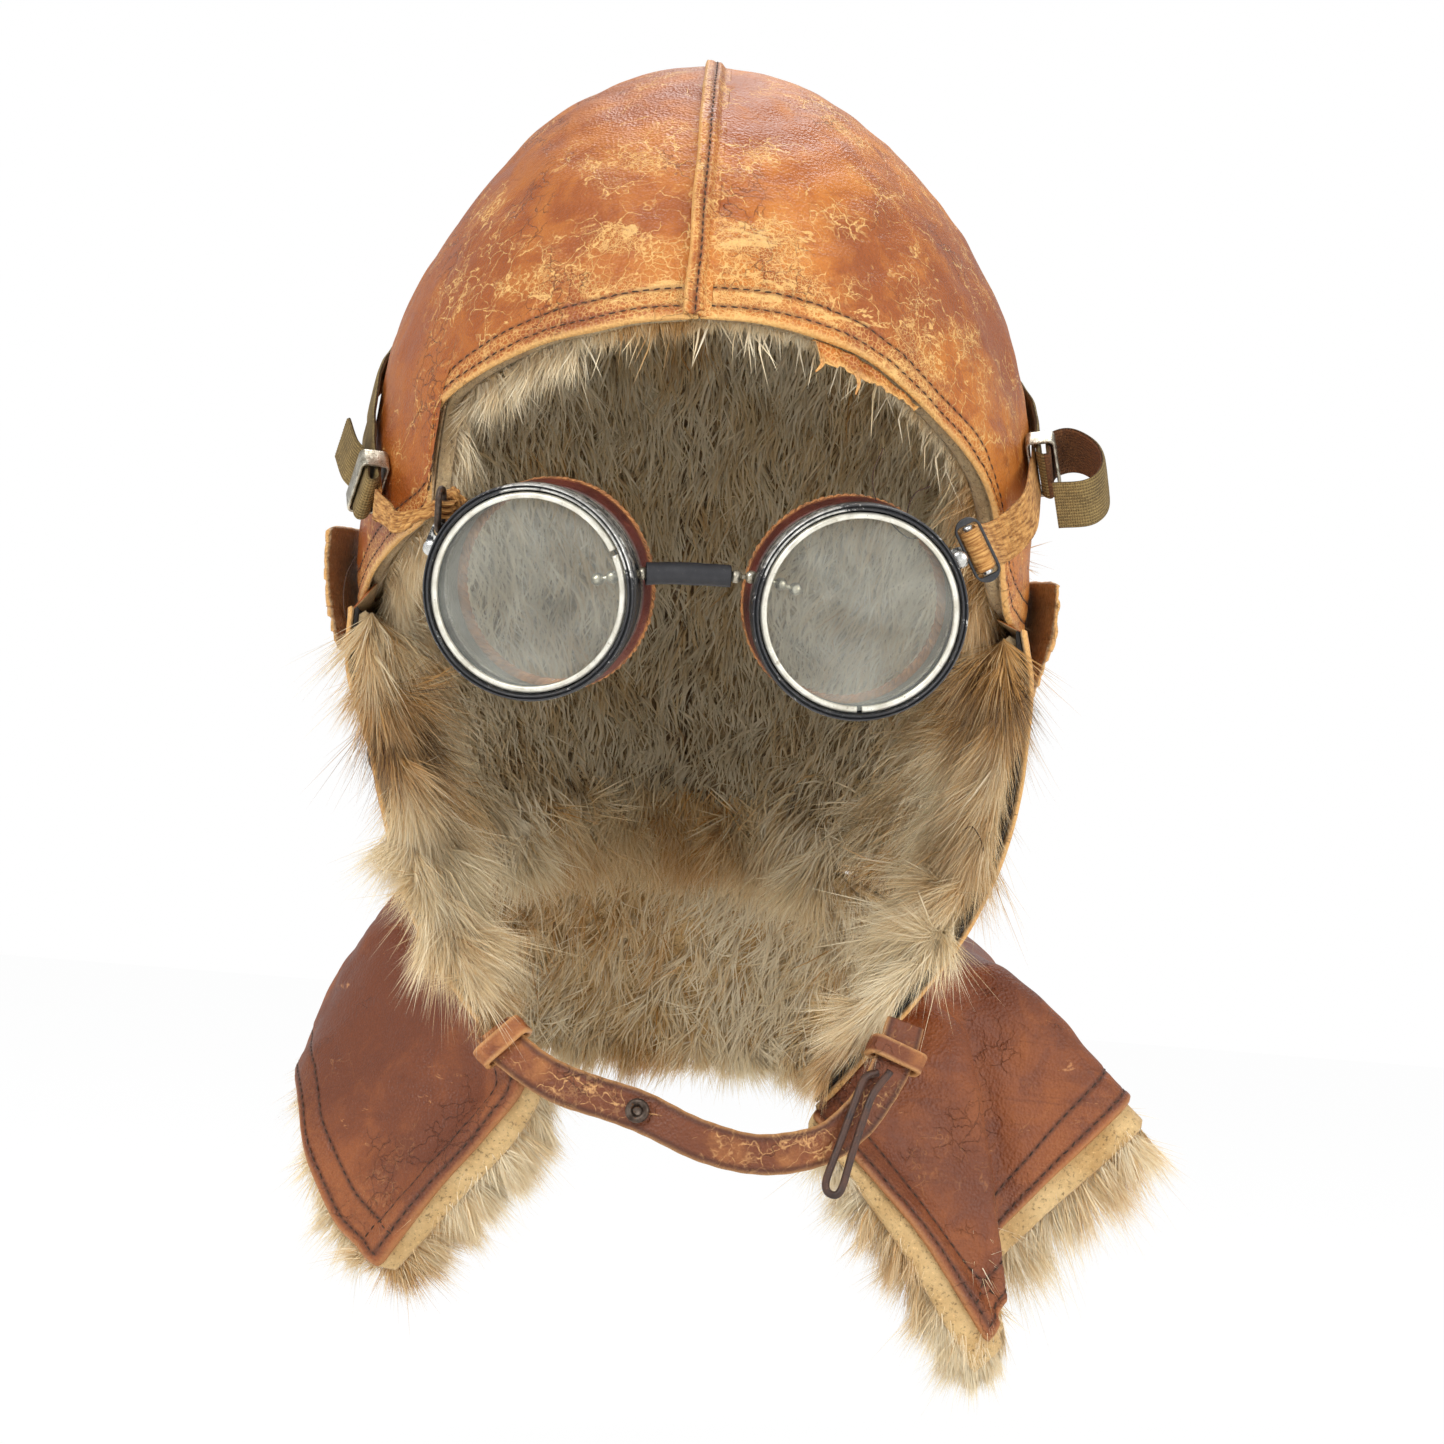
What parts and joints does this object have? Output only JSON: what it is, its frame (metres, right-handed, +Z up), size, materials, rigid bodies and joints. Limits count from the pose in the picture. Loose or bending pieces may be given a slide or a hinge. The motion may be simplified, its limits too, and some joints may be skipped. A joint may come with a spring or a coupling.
{
  "type": "flying helmet with goggles",
  "caption": "Close-fitting leather flying helmet lined with fur, with a shoulder cape, ear flaps, a chin strap and round glass goggles held by webbing and elastic.",
  "frame": {"origin": "centre of the head cavity, level with the eyes", "axes": "+X to the right seen from the front, +Y to the back of the head, +Z up"},
  "size_m": [0.2156, 0.2257, 0.324],
  "materials": {
    "crown_leather": "worn tan leather, cracked",
    "cape_leather": "red-brown leather",
    "fur": "cream and brown fur on its hide",
    "webbing": "olive-brown woven webbing",
    "elastic": "ribbed woven elastic",
    "lace_leather": "dark leather lace",
    "black_paint": "chipped gloss black",
    "pale_metal": "dull bright metal",
    "glass": "clear, slightly hazed",
    "gauze": "fine dark mesh",
    "oxblood": "dark oxblood leather",
    "cord_edge": "twisted two-colour cord",
    "rubber": "matt black",
    "nickel": "dulled nickel plate",
    "dark_metal": "dark tarnished steel"
  },
  "bodies": {
    "helmet": {"crown_left": "crown_leather", "crown_right": "crown_leather", "crown_lining_left": "fur", "crown_lining_right": "fur", "brow_facing": "crown_leather", "cheek_left": "crown_leather", "cheek_right": "crown_leather", "cheek_lining_left": "fur", "cheek_lining_right": "fur", "cape_left": "cape_leather", "cape_right": "cape_leather", "cape_back": "cape_leather", "cape_lining_left": "fur", "cape_lining_right": "fur", "cape_lining_back": "fur", "press_stud_left": "dark_metal", "press_stud_right": "dark_metal", "goggle_web": "webbing"},
    "strap_ends": {"elastic_left": "elastic", "elastic_right": "elastic"},
    "bridge": {"bridge_sleeve": "rubber", "bridge_chain": "nickel"},
    "left_eyepiece": {"bezel_left": "black_paint", "lens_ring_left": "pale_metal", "lens_left": "glass", "rim_body_left": "black_paint", "vent_gauze_left": "gauze", "eye_cup_left": "oxblood", "cup_edging_left": "cord_edge", "lug_rivet_left": "dark_metal"},
    "right_eyepiece": {"bezel_right": "black_paint", "lens_ring_right": "pale_metal", "lens_right": "glass", "rim_body_right": "black_paint", "vent_gauze_right": "gauze", "eye_cup_right": "oxblood", "cup_edging_right": "cord_edge", "plate_rivet": "dark_metal"},
    "hook": {"wire_hook": "dark_metal"},
    "plate": {"slide_plate": "black_paint"},
    "roller": {"roller": "nickel"},
    "ear_flap_left": {"ear_flap_left": "crown_leather"},
    "ear_flap_right": {"ear_flap_right": "crown_leather"},
    "chin_strap": {"chin_strap": "cape_leather", "chin_strap_stud": "dark_metal", "chin_lace": "lace_leather", "strap_keeper_left": "cape_leather", "strap_keeper_right": "cape_leather"},
    "slide_left": {"web_slide_left": "dark_metal"},
    "slide_right": {"web_slide_right": "dark_metal"}
  },
  "joints": [
    {"name": "goggles_lift", "type": "hinge", "parent": "helmet", "child": "strap_ends", "pos_m": [0.00459, -0.0333, 0.03062], "axis": [-0.9851, -0.1327, -0.1091], "range_deg": [0, 14], "deforming": ["elastic_left", "elastic_right"]},
    {"name": "goggles_pull", "type": "slide", "parent": "strap_ends", "child": "bridge", "axis": [0, -1, 0], "range_m": [0, 0.02], "stiffness_N_per_m": 60, "springref_m": -0.01, "deforming": ["elastic_left", "elastic_right"]},
    {"name": "left_eyepiece_turn", "type": "hinge", "parent": "bridge", "child": "left_eyepiece", "pos_m": [-0.01065, -0.10764, 0.00333], "axis": [0, 0, 1], "range_deg": [-3, 12], "stiffness_Nm_per_rad": 0.02, "deforming": ["elastic_left"]},
    {"name": "right_eyepiece_turn", "type": "hinge", "parent": "bridge", "child": "right_eyepiece", "pos_m": [0.01927, -0.1055, 0.00473], "axis": [0, 0, -1], "range_deg": [-3, 12], "stiffness_Nm_per_rad": 0.02, "deforming": ["elastic_right"]},
    {"name": "hook_swing", "type": "hinge", "parent": "left_eyepiece", "child": "hook", "pos_m": [-0.05722, -0.09762, 0.00991], "axis": [0.225, 0.9669, 0.12], "range_deg": [-15, 15], "stiffness_Nm_per_rad": 0.01, "deforming": ["elastic_left"]},
    {"name": "plate_swing", "type": "hinge", "parent": "right_eyepiece", "child": "plate", "pos_m": [0.06551, -0.09998, 0.01306], "axis": [-0.139, 0.983, 0.12], "range_deg": [-10, 10], "stiffness_Nm_per_rad": 0.01, "deforming": ["elastic_right"]},
    {"name": "roller_spin", "type": "hinge", "parent": "plate", "child": "roller", "pos_m": [0.06983, -0.10117, 0.01533], "axis": [-0.4956, -0.174, 0.851], "continuous": true},
    {"name": "ear_flap_left_open", "type": "hinge", "parent": "helmet", "child": "ear_flap_left", "pos_m": [-0.08043, 0.01663, -0.00388], "axis": [0.1099, -0.0229, -0.9937], "range_deg": [0, 100]},
    {"name": "ear_flap_right_open", "type": "hinge", "parent": "helmet", "child": "ear_flap_right", "pos_m": [0.08573, 0.01662, -0.00387], "axis": [0.1178, 0.023, 0.9928], "range_deg": [0, 100]},
    {"name": "chin_strap_drop", "type": "hinge", "parent": "helmet", "child": "chin_strap", "pos_m": [-0.03349, -0.07404, -0.11053], "axis": [-0.1483, 0.9889, 0], "range_deg": [0, 60]},
    {"name": "slide_left_shift", "type": "slide", "parent": "helmet", "child": "slide_left", "axis": [0.1278, -0.7767, -0.6168], "range_m": [0, 0.003]},
    {"name": "slide_right_shift", "type": "slide", "parent": "helmet", "child": "slide_right", "axis": [0.0263, -0.8851, -0.4646], "range_m": [0, 0.003]}
  ]
}
